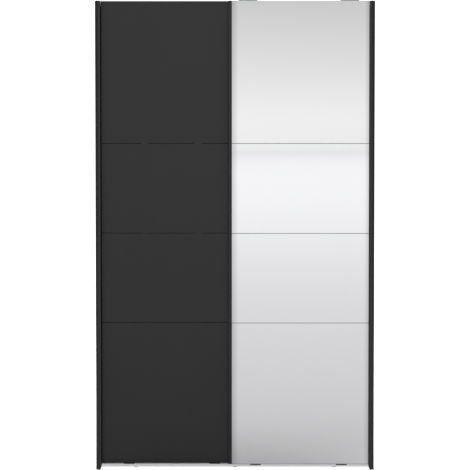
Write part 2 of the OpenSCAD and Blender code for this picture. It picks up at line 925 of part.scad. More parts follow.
side_panel_left();
side_panel_right();
top_board();
bottom_board();
centre_partition();
back_panel_left();
back_panel_right();
back_joint_strip();
top_rail();
bottom_track();
track_stops();
carcass_screws();
hat_shelf();
for (i = [1:shelf_count]) shelf(i);
shelf_pins();
clothes_rail();
rail_sockets();
cam_locks();
cam_bolts();
dowels();
side_glides();
base_glides();
wall_brackets();
for (i = [1:board_count]) {
    left_door_panel(i);
    right_door_panel(i);
    mirror_pane(i);
}
place_left() edge_profile(rear_face);  // left_door_edge_profile
place_left() tie_rails(rear_face);  // left_door_tie_rails
place_left() door_screws(rear_face);  // left_door_screws
place_left() door_guides(rear_face);  // left_door_guides
left_carriage_brackets();
left_carriage_axles();
place_right() edge_profile(front_face);  // right_door_edge_profile
place_right() tie_rails(front_face);  // right_door_tie_rails
place_right() door_screws(front_face);  // right_door_screws
place_right() door_guides(front_face);  // right_door_guides
right_carriage_brackets();
right_height_adjusters();
right_carriage_axles();
for (i = [1:wheels_per_door]) {
    left_wheel(i);
    right_wheel(i);
}
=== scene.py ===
import math

import bmesh
import bpy
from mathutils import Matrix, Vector


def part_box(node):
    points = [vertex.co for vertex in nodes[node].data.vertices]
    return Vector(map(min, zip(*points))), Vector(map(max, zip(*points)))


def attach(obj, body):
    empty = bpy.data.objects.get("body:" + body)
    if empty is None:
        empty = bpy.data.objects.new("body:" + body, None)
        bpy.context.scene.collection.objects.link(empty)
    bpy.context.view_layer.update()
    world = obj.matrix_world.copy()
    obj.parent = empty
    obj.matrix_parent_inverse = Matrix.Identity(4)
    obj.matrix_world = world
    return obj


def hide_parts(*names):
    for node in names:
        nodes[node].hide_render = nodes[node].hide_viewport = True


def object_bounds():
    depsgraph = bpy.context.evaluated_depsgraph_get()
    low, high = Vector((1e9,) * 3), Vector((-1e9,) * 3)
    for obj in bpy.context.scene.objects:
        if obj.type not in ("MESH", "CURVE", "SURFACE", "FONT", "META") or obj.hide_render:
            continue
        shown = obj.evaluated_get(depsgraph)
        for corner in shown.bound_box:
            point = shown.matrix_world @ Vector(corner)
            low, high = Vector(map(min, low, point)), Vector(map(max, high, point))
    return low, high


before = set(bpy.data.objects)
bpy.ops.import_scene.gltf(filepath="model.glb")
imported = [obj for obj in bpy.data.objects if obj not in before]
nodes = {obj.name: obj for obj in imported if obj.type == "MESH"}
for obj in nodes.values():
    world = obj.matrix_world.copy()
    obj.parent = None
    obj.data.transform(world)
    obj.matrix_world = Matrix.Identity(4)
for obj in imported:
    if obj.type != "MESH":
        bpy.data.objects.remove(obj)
cad_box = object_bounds()

# ---- Camera ----
# A long lens at chest height, square on to the doors and tipped down a little, so that the
# whole front fills the frame with almost no perspective.
eye_back = 9.0
eye_height = 1.45
aim_height = 1.016
lens_mm = 160.5
sensor_mm = 36
farthest_seen = 200

camera = bpy.data.objects.new("camera", bpy.data.cameras.new("camera"))
camera.data.lens = lens_mm
camera.data.sensor_width = sensor_mm
camera.data.clip_end = farthest_seen
front_y = cad_box[0].y
camera.location = (0, front_y - eye_back, eye_height)
line_of_sight = Vector((0, front_y, aim_height)) - camera.location
camera.rotation_euler = line_of_sight.to_track_quat("-Z", "Y").to_euler()
bpy.context.scene.collection.objects.link(camera)
bpy.context.scene.camera = camera

# ---- Studio: light and floor ----
# A pale painted floor under a soft white studio. The wall behind the object is the brightest.
# The hall that the doors face is bright at the horizon, dim just over it and bright again
# overhead, and black flags on both sides of it darken the outline of the furniture.
floor_half_width = 80
floor_front = -160
floor_rear = 11
floor_grey = "#e9e9ea"
table_grey = "#8a8a8b"
table_light = 0.97
table_edge = 0.05
backdrop_light = 1.5
backdrop_from = 0.2
backdrop_full = 0.5
# The hall by height, from straight down at 0 to straight up at 1, and the flags by how far aside.
hall_lights = [
    (0.30, 0.78),
    (0.455, 0.92),
    (0.495, 1.08),
    (0.504, 1.12),
    (0.520, 0.91),
    (0.540, 0.665),
    (0.600, 0.53),
    (0.800, 0.95),
]
flag_lights = [(0.0, 1.0), (0.10, 0.97), (0.20, 0.68), (0.36, 0.14), (0.60, 0.02)]


def linear(hex_code):
    """An sRGB hex colour as the linear colour that shaders take."""
    parts = [int(hex_code[i:i + 2], 16) / 255 for i in (1, 3, 5)]
    return (*[p / 12.92 if p <= 0.04045 else ((p + 0.055) / 1.055) ** 2.4 for p in parts], 1.0)


def add_node(tree, kind, inputs=None, **settings):
    """A node with its settings, and its inputs set to values or linked to other nodes' outputs."""
    made = tree.nodes.new(kind)
    for name, value in settings.items():
        setattr(made, name, value)
    for name, value in (inputs or {}).items():
        if isinstance(value, bpy.types.NodeSocket):
            tree.links.new(value, made.inputs[name])
        else:
            made.inputs[name].default_value = value
    return made


def new_finish(name, **sockets):
    """A material with one Principled shader, whose sockets are set from the arguments."""
    made = bpy.data.materials.new(name)
    made.use_nodes = True
    shader = made.node_tree.nodes["Principled BSDF"]
    for socket, value in sockets.items():
        shader.inputs[socket.replace("_", " ")].default_value = value
    return made, made.node_tree, shader


world = bpy.data.worlds.new("studio_light")
bpy.context.scene.world = world
world.use_nodes = True
sky = world.node_tree
sky.nodes.clear()
towards = add_node(sky, "ShaderNodeTexCoord")
split = add_node(sky, "ShaderNodeSeparateXYZ", {"Vector": towards.outputs["Generated"]})
rise = add_node(sky, "ShaderNodeMapRange", {"Value": split.outputs["Z"], "From Min": -1, "From Max": 1})
aside = add_node(sky, "ShaderNodeMath", {0: split.outputs["X"]}, operation="ABSOLUTE")


def grey_ramp(tree, value, stops):
    """A ramp of greys whose stops are (position, level) pairs."""
    ramp = add_node(tree, "ShaderNodeValToRGB", {"Fac": value})
    while len(ramp.color_ramp.elements) < len(stops):
        ramp.color_ramp.elements.new(0.5)
    for stop, (place, level) in zip(ramp.color_ramp.elements, stops):
        stop.position = place
        stop.color = (level, level, level, 1)
    return ramp


hall = grey_ramp(sky, rise.outputs["Result"], hall_lights)
flags = grey_ramp(sky, aside.outputs["Value"], flag_lights)
front = add_node(sky, "ShaderNodeMix", {"Factor": 1.0}, data_type="RGBA", blend_type="MULTIPLY")
sky.links.new(hall.outputs["Color"], front.inputs["A"])
sky.links.new(flags.outputs["Color"], front.inputs["B"])
behind = add_node(sky, "ShaderNodeMapRange", {
    "Value": split.outputs["Y"], "From Min": backdrop_from, "From Max": backdrop_full,
})
white = (backdrop_light, backdrop_light, backdrop_light, 1)
tone = add_node(sky, "ShaderNodeMix", data_type="RGBA")
sky.links.new(behind.outputs["Result"], tone.inputs["Factor"])
sky.links.new(front.outputs["Result"], tone.inputs["A"])
tone.inputs["B"].default_value = white
glow = add_node(sky, "ShaderNodeBackground", {"Color": tone.outputs["Result"], "Strength": 1.0})
add_node(sky, "ShaderNodeOutputWorld", {"Surface": glow.outputs["Background"]})

floor_mesh = bpy.data.meshes.new("floor")
corners = [(-1, floor_front), (1, floor_front), (1, floor_rear), (-1, floor_rear)]
floor_mesh.from_pydata([(x * floor_half_width, y, 0) for x, y in corners], [], [(0, 1, 2, 3)])
floor = bpy.data.objects.new("floor", floor_mesh)
bpy.context.scene.collection.objects.link(floor)
# From the doors back, the floor is translucent and lit from below, as a product table is.
floor_paint, floor_tree, floor_shader = new_finish("floor_paint", Roughness=0.55)
floor_shader.inputs["Emission Color"].default_value = (1, 1, 1, 1)
on_floor = add_node(floor_tree, "ShaderNodeTexCoord")
floor_axes = add_node(floor_tree, "ShaderNodeSeparateXYZ", {"Vector": on_floor.outputs["Object"]})
from_below = add_node(floor_tree, "ShaderNodeMapRange", {
    "Value": floor_axes.outputs["Y"], "From Min": front_y - table_edge, "From Max": front_y,
}, interpolation_type="SMOOTHSTEP")
floor_tone = add_node(floor_tree, "ShaderNodeMix", {"Factor": from_below.outputs["Result"]}, data_type="RGBA")
floor_tone.inputs["A"].default_value = linear(floor_grey)
floor_tone.inputs["B"].default_value = linear(table_grey)
floor_glow = add_node(
    floor_tree, "ShaderNodeMath", {0: from_below.outputs["Result"], 1: table_light}, operation="MULTIPLY",
)
floor_tree.links.new(floor_tone.outputs["Result"], floor_shader.inputs["Base Color"])
floor_tree.links.new(floor_glow.outputs["Value"], floor_shader.inputs["Emission Strength"])
floor_mesh.materials.append(floor_paint)

# One soft lamp hangs behind the object and a very wide one over the far end of the hall, both
# facing the floor, and a weak soft light slants down. Between the lamps the floor is darkest
# at the doors' feet.
softboxes = {
    "rear_softbox": {"place": (0, 3.3, 3.0), "size": (8, 5.2), "watts": 300, "spread": 68},
    "far_front_softbox": {"place": (0, -85, 20), "size": (60, 150), "watts": 26500, "spread": 180},
}
ceiling_strength = 0.1
ceiling_spread = 70
ceiling_slant = -62
ceiling = bpy.data.objects.new("ceiling_light", bpy.data.lights.new("ceiling_light", "SUN"))
ceiling.data.energy = ceiling_strength
ceiling.data.angle = math.radians(ceiling_spread)
ceiling.rotation_euler = (math.radians(ceiling_slant), 0, 0)
bpy.context.scene.collection.objects.link(ceiling)
for name, box in softboxes.items():
    lamp = bpy.data.objects.new(name, bpy.data.lights.new(name, "AREA"))
    lamp.data.shape = "RECTANGLE"
    lamp.data.size, lamp.data.size_y = box["size"]
    lamp.data.energy = box["watts"]
    lamp.data.spread = math.radians(box["spread"])
    lamp.location = box["place"]
    bpy.context.scene.collection.objects.link(lamp)

bpy.context.scene.view_settings.view_transform = "Standard"

# ---- Side panels ----
# 22 mm particleboard faced with black melamine, a soft black with broad dull highlights. The
# front edge is a crown that falls away to the outside, lipped with thick black edging, which
# is glossier. The groove near the rear edge holds the hardboard back.
panel_black = "#141414"
edging_black = "#1a1a1a"
crown_depth = 0.0042
crown_power = 2.4
crown_steps = 12
outer_arris = 0.0016
arris = 0.0006
groove_deep = 0.006
groove_play = 0.0001


def softened(points, radii, steps=4):
    """A closed outline with each corner replaced by a curve that starts a radius before it."""
    points = [Vector(p) for p in points]
    made = []
    for i, corner in enumerate(points):
        radius = radii[i] if isinstance(radii, (list, tuple)) else radii
        if radius <= 0:
            made.append(corner)
            continue
        start = corner + (points[i - 1] - corner).normalized() * radius
        end = corner + (points[(i + 1) % len(points)] - corner).normalized() * radius
        for k in range(steps + 1):
            s = k / steps
            made.append(start * (1 - s) ** 2 + corner * 2 * s * (1 - s) + end * s ** 2)
    return made


def shrunk(outline, by):
    """The outline moved inward by a small distance, corner by corner."""
    area = sum(a.x * b.y - b.x * a.y for a, b in zip(outline, outline[1:] + outline[:1]))
    side = 1 if area > 0 else -1
    made = []
    for i, p in enumerate(outline):
        into = (p - outline[i - 1]).normalized()
        out = (outline[(i + 1) % len(outline)] - p).normalized()
        inward = Vector((-into.y - out.y, into.x + out.x)) * side
        inward.normalize()
        across = Vector((-into.y, into.x)) * side
        made.append(p + inward * (by / max(inward.dot(across), 0.5)))
    return made


def drawn(outline, low, high, along, chamfer, strip=False):
    """An outline drawn out along an axis, with a small chamfer round both ends.

    A strip's ends are closed across its thickness, so that a bend isn't filled in."""
    inner = shrunk(outline, chamfer)
    rings = [(low, inner), (low + chamfer, outline), (high - chamfer, outline), (high, inner)]
    place = {
        "x": lambda p, h: (h, p.x, p.y),
        "y": lambda p, h: (p.x, h, p.y),
        "z": lambda p, h: (p.x, p.y, h),
    }[along]
    count = len(outline)
    points = [Vector(place(p, h)) for h, ring in rings for p in ring]
    faces = [
        [r * count + i, r * count + (i + 1) % count, (r + 1) * count + (i + 1) % count, (r + 1) * count + i]
        for r in range(len(rings) - 1)
        for i in range(count)
    ]
    for start in (0, (len(rings) - 1) * count):
        ends = [start + i for i in range(count)]
        if strip:
            faces += [[ends[i], ends[i + 1], ends[-2 - i], ends[-1 - i]] for i in range(count // 2 - 1)]
        else:
            faces.append(ends)
    return points, faces


sharp_from = math.radians(40)
square_to_axis = 0.9999


def make_piece(name, shapes, finishes, body, slot, *stands_for, choose=None):
    """One object from several closed shapes, riding on a body in place of the named nodes."""
    points, faces = [], []
    for shape_points, shape_faces in shapes:
        start = len(points)
        points += shape_points
        faces += [[start + i for i in face] for face in shape_faces]
    mesh = bpy.data.meshes.new(name)
    mesh.from_pydata(points, [], faces)
    made = bmesh.new()
    made.from_mesh(mesh)
    bmesh.ops.recalc_face_normals(made, faces=made.faces[:])
    many_sided = [f for f in made.faces if len(f.verts) > 4]
    bmesh.ops.triangulate(made, faces=many_sided, ngon_method="EAR_CLIP")
    made.to_mesh(mesh)
    made.free()
    mesh.set_sharp_from_angle(angle=sharp_from)
    for polygon in mesh.polygons:
        # Faces square to an axis are flat boards and panes, and stay flat.
        polygon.use_smooth = max(abs(c) for c in polygon.normal) < square_to_axis
        polygon.material_index = choose(polygon.center, polygon.normal) if choose else 0
    for finish in finishes:
        mesh.materials.append(finish)
    made_object = bpy.data.objects.new(name, mesh)
    bpy.context.scene.collection.objects.link(made_object)
    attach(made_object, body)
    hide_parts(*stands_for)


def melamine(name, base, sheen_rough):
    """Melamine foil pressed with a pearl texture: a soft black that hides finger marks."""
    finish, tree, shader = new_finish(name, IOR=1.5)
    at = add_node(tree, "ShaderNodeTexCoord").outputs["Object"]
    # The pressed pearls are 0.6 mm across, and are drawn at 2.5 mm so that they show.
    pearl, patch = 0.0025, 0.18
    pearls = add_node(tree, "ShaderNodeTexNoise", {"Vector": at, "Scale": 1 / pearl, "Detail": 2.0})
    cloud = add_node(tree, "ShaderNodeTexNoise", {"Vector": at, "Scale": 1 / patch, "Detail": 3.0})
    shade = add_node(tree, "ShaderNodeValToRGB", {"Fac": cloud.outputs["Fac"]})
    dark, light = [c * 0.92 for c in linear(base)[:3]], [c * 1.08 for c in linear(base)[:3]]
    shade.color_ramp.elements[0].position = 0.35
    shade.color_ramp.elements[0].color = (*dark, 1)
    shade.color_ramp.elements[1].position = 0.65
    shade.color_ramp.elements[1].color = (*light, 1)
    rough = add_node(tree, "ShaderNodeMapRange", {
        "Value": pearls.outputs["Fac"], "To Min": sheen_rough - 0.05, "To Max": sheen_rough + 0.05,
    })
    bump = add_node(tree, "ShaderNodeBump", {
        "Height": pearls.outputs["Fac"], "Strength": 0.12, "Distance": 0.0002,
    })
    tree.links.new(shade.outputs["Color"], shader.inputs["Base Color"])
    tree.links.new(rough.outputs["Result"], shader.inputs["Roughness"])
    tree.links.new(bump.outputs["Normal"], shader.inputs["Normal"])
    return finish


def moulded(name, base, rough, grain_mm=1.2):
    """Moulded or extruded plastic: even colour with the fine grain of its tool."""
    finish, tree, shader = new_finish(name, IOR=1.5)
    at = add_node(tree, "ShaderNodeTexCoord").outputs["Object"]
    grain = add_node(tree, "ShaderNodeTexNoise", {"Vector": at, "Scale": 1000 / grain_mm, "Detail": 2.0})
    shade = add_node(tree, "ShaderNodeMix", {"Factor": grain.outputs["Fac"]}, data_type="RGBA")
    shade.inputs["A"].default_value = [c * 0.9 for c in linear(base)[:3]] + [1]
    shade.inputs["B"].default_value = [min(c * 1.1, 1) for c in linear(base)[:3]] + [1]
    level = add_node(tree, "ShaderNodeMapRange", {
        "Value": grain.outputs["Fac"], "To Min": rough - 0.06, "To Max": rough + 0.06,
    })
    bump = add_node(tree, "ShaderNodeBump", {
        "Height": grain.outputs["Fac"], "Strength": 0.15, "Distance": 0.0001,
    })
    tree.links.new(shade.outputs["Result"], shader.inputs["Base Color"])
    tree.links.new(level.outputs["Result"], shader.inputs["Roughness"])
    tree.links.new(bump.outputs["Normal"], shader.inputs["Normal"])
    return finish


carcass_foil = melamine("melamine_foil_carcass", panel_black, 0.46)
edging = moulded("abs_edging", edging_black, 0.30, 1.6)

for side, node in ((-1, "side_panel_left"), (1, "side_panel_right")):
    low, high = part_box(node)
    back_low, back_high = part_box("back_panel_right")
    inner, outer = (low.x, high.x) if side > 0 else (high.x, low.x)
    slot_bottom = inner + side * groove_deep
    crown = [
        (inner + (outer - inner) * k / crown_steps, low.y + crown_depth * (k / crown_steps) ** crown_power)
        for k in range(crown_steps + 1)
    ]
    crown_radii = [arris] + [0] * (crown_steps - 1) + [outer_arris]
    outline = softened(
        crown + [
            (outer, high.y), (inner, high.y),
            (inner, back_high.y + groove_play), (slot_bottom, back_high.y + groove_play),
            (slot_bottom, back_low.y - groove_play), (inner, back_low.y - groove_play),
        ],
        crown_radii + [arris, arris, 0, 0, 0, 0],
        6,
    )
    make_piece(
        node + "_board", [drawn(outline, low.z, high.z, "z", arris / 2)], [carcass_foil, edging],
        "carcass", "carcass_board", node,
        choose=lambda centre, normal, front=low.y: 1 if centre.y < front + 2 * crown_depth else 0,
    )

# ---- Top, bottom, partition and shelves ----
# 16 mm boards with the same black foil. The shelves' edges are lipped on all four sides; the
# top, bottom and partition keep their bored holes for cams, bolts and dowels.
shelf_arris = 0.0008


def slab(low, high, edge, segments=3):
    """A block between two corners with every edge rounded."""
    made = bmesh.new()
    bmesh.ops.create_cube(made, size=1)
    for v in made.verts:
        v.co = Vector([low[i] if v.co[i] < 0 else high[i] for i in range(3)])
    bmesh.ops.bevel(made, geom=made.edges[:], offset=edge, segments=segments, profile=0.5, affect="EDGES")
    made.verts.index_update()
    points = [v.co.copy() for v in made.verts]
    faces = [[v.index for v in f.verts] for f in made.faces]
    made.free()
    return points, faces


def dress(node, finish):
    """A better finish on a node that keeps its own shape."""
    mesh = nodes[node].data
    if mesh.materials:
        for i in range(len(mesh.materials)):
            mesh.materials[i] = finish
    else:
        mesh.materials.append(finish)


for node in ["hat_shelf"] + ["shelf_%d" % i for i in range(1, 5)]:
    low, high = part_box(node)
    make_piece(
        node + "_board", [slab(low, high, shelf_arris)], [carcass_foil, edging],
        "carcass", "carcass_board", node,
        choose=lambda centre, normal: 1 if abs(normal.z) < 0.9 else 0,
    )
for node in ("top_board", "bottom_board", "centre_partition"):
    dress(node, carcass_foil)

# ---- Back ----
# Two 3 mm hardboard sheets, printed black on the smooth inner face and left brown and fibrous
# behind, joined by an extruded strip of black PVC.
hardboard_brown = "#6d4c31"
hardboard_dark = "#4f3723"
print_black = "#191817"
fibre = 0.007
fleck = 0.045

hardboard, tree, shader = new_finish("hardboard", IOR=1.45, Roughness=0.8)
place = add_node(tree, "ShaderNodeTexCoord")
fibres = add_node(tree, "ShaderNodeTexNoise", {
    "Vector": place.outputs["Object"], "Scale": 1 / fibre, "Detail": 6.0, "Distortion": 1.2,
})
blotch = add_node(tree, "ShaderNodeTexNoise", {
    "Vector": place.outputs["Object"], "Scale": 1 / fleck, "Detail": 5.0,
})
mixed = add_node(
    tree, "ShaderNodeMath", {0: fibres.outputs["Fac"], 1: blotch.outputs["Fac"]}, operation="MULTIPLY",
)
brown = add_node(tree, "ShaderNodeValToRGB", {"Fac": mixed.outputs["Value"]})
brown.color_ramp.elements[0].position = 0.10
brown.color_ramp.elements[0].color = linear(hardboard_dark)
brown.color_ramp.elements[1].position = 0.42
brown.color_ramp.elements[1].color = linear(hardboard_brown)
facing = add_node(tree, "ShaderNodeSeparateXYZ", {"Vector": place.outputs["Normal"]})
inside = add_node(tree, "ShaderNodeMath", {0: facing.outputs["Y"], 1: -0.5}, operation="LESS_THAN")
both = add_node(tree, "ShaderNodeMix", {"Factor": inside.outputs["Value"]}, data_type="RGBA")
tree.links.new(brown.outputs["Color"], both.inputs["A"])
both.inputs["B"].default_value = linear(print_black)
bump = add_node(tree, "ShaderNodeBump", {
    "Height": fibres.outputs["Fac"], "Strength": 0.4, "Distance": 0.0003,
})
tree.links.new(both.outputs["Result"], shader.inputs["Base Color"])
tree.links.new(bump.outputs["Normal"], shader.inputs["Normal"])
dress("back_panel_left", hardboard)
dress("back_panel_right", hardboard)

pvc = moulded("extruded_pvc", "#1b1b1b", 0.42)
dress("back_joint_strip", pvc)

# ---- Fixings ----
# Turned and cold-headed steel with bright zinc plate, die-cast zinc cams, and fluted beech
# dowels. They keep their plain shapes, because the boards hide all but their ends.


def metal(name, base, rough, brush=(1, 1, 1), grain=0.004, swing=0.08):
    """A metal with its own tone, and roughness that varies along the direction it was worked."""
    finish, tree, shader = new_finish(name, Metallic=1.0)
    at = add_node(tree, "ShaderNodeTexCoord").outputs["Object"]
    lie = add_node(tree, "ShaderNodeMapping", {"Vector": at, "Scale": brush})
    marks = add_node(tree, "ShaderNodeTexNoise", {
        "Vector": lie.outputs["Vector"], "Scale": 1 / grain, "Detail": 4.0,
    })
    level = add_node(tree, "ShaderNodeMapRange", {
        "Value": marks.outputs["Fac"], "To Min": rough - swing, "To Max": rough + swing,
    })
    shade = add_node(tree, "ShaderNodeMix", {"Factor": marks.outputs["Fac"]}, data_type="RGBA")
    shade.inputs["A"].default_value = [c * 0.9 for c in linear(base)[:3]] + [1]
    shade.inputs["B"].default_value = [min(c * 1.08, 1) for c in linear(base)[:3]] + [1]
    bump = add_node(tree, "ShaderNodeBump", {
        "Height": marks.outputs["Fac"], "Strength": 0.08, "Distance": 0.0001,
    })
    tree.links.new(shade.outputs["Result"], shader.inputs["Base Color"])
    tree.links.new(level.outputs["Result"], shader.inputs["Roughness"])
    tree.links.new(bump.outputs["Normal"], shader.inputs["Normal"])
    return finish


bright_zinc = metal("bright_zinc_plate", "#c3c5c7", 0.26)
cast_zinc = metal("die_cast_zinc", "#9a9c9e", 0.5, grain=0.0015)
for node in (
    "carcass_screws", "left_door_screws", "right_door_screws", "cam_bolts", "shelf_pins",
    "left_carriage_axles", "right_carriage_axles",
):
    dress(node, bright_zinc)
for node in ("cam_locks", "rail_sockets"):
    dress(node, cast_zinc)

beech_pore = 0.003
beech_dark = "#b58a58"
beech_light = "#d9b483"
beech, tree, shader = new_finish("turned_beech", IOR=1.5, Roughness=0.6)
at = add_node(tree, "ShaderNodeTexCoord").outputs["Object"]
grain = add_node(tree, "ShaderNodeTexNoise", {"Vector": at, "Scale": 1 / beech_pore, "Detail": 5.0})
wood = add_node(tree, "ShaderNodeValToRGB", {"Fac": grain.outputs["Fac"]})
wood.color_ramp.elements[0].color = linear(beech_dark)
wood.color_ramp.elements[1].color = linear(beech_light)
tree.links.new(wood.outputs["Color"], shader.inputs["Base Color"])
dress("dowels", beech)

# ---- Clothes rail ----
# An oval steel tube, polished and chrome plated, so that it mirrors the inside of the
# wardrobe. Its ends rest in two die-cast sockets.
chrome = metal("polished_chrome", "#dcdddf", 0.09, swing=0.03)
dress("clothes_rail", chrome)

# ---- Glides ----
# Black nylon shoes nailed under the side panels, and round glides with a stem in the board.
# All of them are injection moulded, with a soft edge where they meet the floor.
nylon_black = moulded("moulded_black_nylon", "#121212", 0.5)
shoe_taper = 0.004
shoe_edge = 0.0008
stem_r = 0.003


def solids_of(node):
    """The lowest and highest corner of each separate solid in a node, from left to right."""
    made = bmesh.new()
    made.from_mesh(nodes[node].data)
    bmesh.ops.remove_doubles(made, verts=made.verts[:], dist=1e-6)
    left, found = set(made.verts), []
    while left:
        reached, waiting = set(), [left.pop()]
        while waiting:
            v = waiting.pop()
            reached.add(v)
            for edge in v.link_edges:
                other = edge.other_vert(v)
                if other in left:
                    left.discard(other)
                    waiting.append(other)
        spread = [[v.co[i] for v in reached] for i in range(3)]
        found.append((Vector([min(s) for s in spread]), Vector([max(s) for s in spread])))
    made.free()
    return sorted(found, key=lambda pair: [round(c, 4) for c in pair[0]])


def turned(outline, centre, steps=40):
    """An upright round piece from (radius, height) pairs, closed at both ends."""
    points = [
        centre + Vector((r * math.cos(math.tau * k / steps), r * math.sin(math.tau * k / steps), h))
        for r, h in outline
        for k in range(steps)
    ]
    faces = [
        [i * steps + k, i * steps + (k + 1) % steps, (i + 1) * steps + (k + 1) % steps, (i + 1) * steps + k]
        for i in range(len(outline) - 1)
        for k in range(steps)
    ]
    faces.append(list(range(steps)))
    faces.append([(len(outline) - 1) * steps + k for k in range(steps)])
    return points, faces


shoes = []
for low, high in solids_of("side_glides"):
    side = 1 if low.x > 0 else -1
    outer, inner = (high.x, low.x) if side > 0 else (low.x, high.x)
    outline = softened(
        [(outer, 0), (outer, high.z), (inner, high.z), (inner + side * shoe_taper, 0)],
        [0.001, 0, 0, 0.0015],
    )
    shoes.append(drawn(outline, low.y, high.y, "y", shoe_edge))
make_piece("side_glide_shoes", shoes, [nylon_black], "carcass", "black_nylon", "side_glides")

feet = []
for low, high in solids_of("base_glides"):
    centre = Vector(((low.x + high.x) / 2, (low.y + high.y) / 2, 0))
    radius = (high.x - low.x) / 2
    feet.append(turned(
        [
            (radius - 0.0022, 0), (radius - 0.001, 0.0003), (radius - 0.0003, 0.001), (radius, 0.0022),
            (radius, 0.0085), (radius - 0.0006, 0.0094), (radius - 0.0006, 0.0118), (stem_r, 0.0118),
            (stem_r, high.z - 0.001), (stem_r - 0.001, high.z),
        ],
        centre,
    ))
make_piece("base_glide_feet", feet, [nylon_black], "carcass", "black_nylon", "base_glides")

# ---- Rail and track ----
# Aluminium sections, extruded and clear anodised: a double running rail on the top board and a
# low track under the doors, whose two ribs guide the doors' feet. Both are a pale satin.
anodised = metal("clear_anodised_aluminium", "#e4e5e7", 0.42, brush=(0.02, 1, 1), grain=0.0012)

low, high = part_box("bottom_track")
door_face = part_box("mirror_pane_4")[0].y
rear_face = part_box("left_door_panel_4")[0].y
half_door = (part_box("right_door_panel_4")[1].y - door_face) / 2
web = 0.002
rib_half = 0.0008
fillet = 0.0006
floor_top = low.z + web
rib_top = low.z + 0.0115
ribs = [door_face + half_door, rear_face + half_door]
lip = 0.0004
section = [
    (low.y, low.z), (high.y, low.z), (high.y, high.z), (high.y - web, high.z), (high.y - web, floor_top),
]
radii = [lip] * 4 + [fillet]
for rib in reversed(ribs):
    section += [
        (rib + rib_half, floor_top), (rib + rib_half, rib_top),
        (rib - rib_half, rib_top), (rib - rib_half, floor_top),
    ]
    radii += [fillet] * 4
section.append((low.y, floor_top))
radii.append(lip)
make_piece(
    "bottom_track_section", [drawn(softened(section, radii, 3), low.x, high.x, "x", 0.0003)],
    [anodised], "carcass", "rail_aluminium", "bottom_track",
)

low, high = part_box("top_rail")
wheel_rows = [(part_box(n)[0].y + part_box(n)[1].y) / 2 for n in ("left_wheel_1", "right_wheel_1")]
base_top = low.z + web
row_half = 0.0015
row_round = 0.0014
section = [(low.y, low.z), (high.y, low.z), (high.y, base_top)]
radii = [lip, lip, lip]
for row in reversed(wheel_rows):
    section += [
        (row + row_half, base_top), (row + row_half, high.z),
        (row - row_half, high.z), (row - row_half, base_top),
    ]
    radii += [fillet, row_round, row_round, fillet]
section.append((low.y, base_top))
radii.append(lip)
make_piece(
    "top_rail_section", [drawn(softened(section, radii, 4), low.x, high.x, "x", 0.0003)],
    [anodised], "carcass", "rail_aluminium", "top_rail",
)

# The stops are nylon blocks clipped over the rail's ribs.
slot_half = 0.0016
slot_deep = 0.0041
stop_round = 0.002
stops = []
for low, high in solids_of("track_stops"):
    row = (low.y + high.y) / 2
    outline = softened(
        [
            (low.y, low.z), (row - slot_half, low.z), (row - slot_half, low.z + slot_deep),
            (row + slot_half, low.z + slot_deep), (row + slot_half, low.z), (high.y, low.z),
            (high.y, high.z), (low.y, high.z),
        ],
        [0.0005, 0, 0, 0, 0, 0.0005, stop_round, stop_round],
    )
    stops.append(drawn(outline, low.x, high.x, "x", 0.0004))
make_piece("rail_end_stops", stops, [nylon_black], "carcass", "black_nylon", "track_stops")

# ---- Wall brackets ----
# Strips of zinc plated steel bent to an angle, screwed to the top board and to the wall to stop
# the wardrobe tipping. The plate is a dull grey that varies a little from spot to spot.
galvanised = metal("zinc_plated_strip", "#8f9295", 0.4, grain=0.006, swing=0.1)
strip_t = 0.0025
strip_bend = 0.0035
cut_edge = 0.0003
foot_rise = 0.008
lap = 0.0005
hole_r = 0.003
hole_rise = 0.020


def pierced_plate(low, high, centre, radius, corner=0.005, splits=5):
    """An upright plate across Y with rounded top corners and a round hole through it."""
    corners = softened(
        [(low.x, low.z), (high.x, low.z), (high.x, high.z), (low.x, high.z)], [0, 0, corner, corner], 6,
    )
    rim = [a.lerp(b, k / splits) for a, b in zip(corners, corners[1:] + corners[:1]) for k in range(splits)]
    angles = [math.atan2(p.y - centre.y, p.x - centre.x) for p in rim]
    ring = [centre + Vector((math.cos(a), math.sin(a))) * radius for a in angles]
    count = len(rim)
    points = [Vector((p.x, y, p.y)) for y in (low.y, high.y) for line in (rim, ring) for p in line]
    faces = []
    for i in range(count):
        j = (i + 1) % count
        faces.append([i, j, count + j, count + i])
        faces.append([2 * count + i, 2 * count + j, 3 * count + j, 3 * count + i])
        faces.append([i, j, 2 * count + j, 2 * count + i])
        faces.append([count + i, count + j, 3 * count + j, 3 * count + i])
    return points, faces


def bent_strip(path, thick, radius):
    """The section of a strip that follows a path with square bends, its thickness to the left."""
    path = [Vector(p) for p in path]
    left = []
    for i, p in enumerate(path):
        into = (p - path[max(i - 1, 0)]).normalized() if i else (path[1] - p).normalized()
        out = (path[i + 1] - p).normalized() if i + 1 < len(path) else into
        normal = Vector((-into.y - out.y, into.x + out.x)).normalized()
        across = Vector((-into.y, into.x))
        left.append(p + normal * (thick / normal.dot(across)))
    end_round = 0.0004
    inner_radius = max(radius - thick, end_round)
    turns = len(path) - 2
    radii = [end_round] + [radius] * turns + [end_round] * 2 + [inner_radius] * turns + [end_round]
    return softened(path + left[::-1], radii, 5)


angles = []
for low, high in solids_of("wall_brackets"):
    split = low.z + foot_rise
    path = [(low.y, low.z), (high.y, low.z), (high.y, split)]
    angles.append(drawn(bent_strip(path, strip_t, strip_bend), low.x, high.x, "x", cut_edge, strip=True))
    leg_low = Vector((low.x, high.y - strip_t, split - lap))
    hole = Vector(((low.x + high.x) / 2, low.z + hole_rise))
    angles.append(pierced_plate(leg_low, high, hole, hole_r))
make_piece("wall_bracket_angles", angles, [galvanised], "carcass", "galvanised_steel", "wall_brackets")

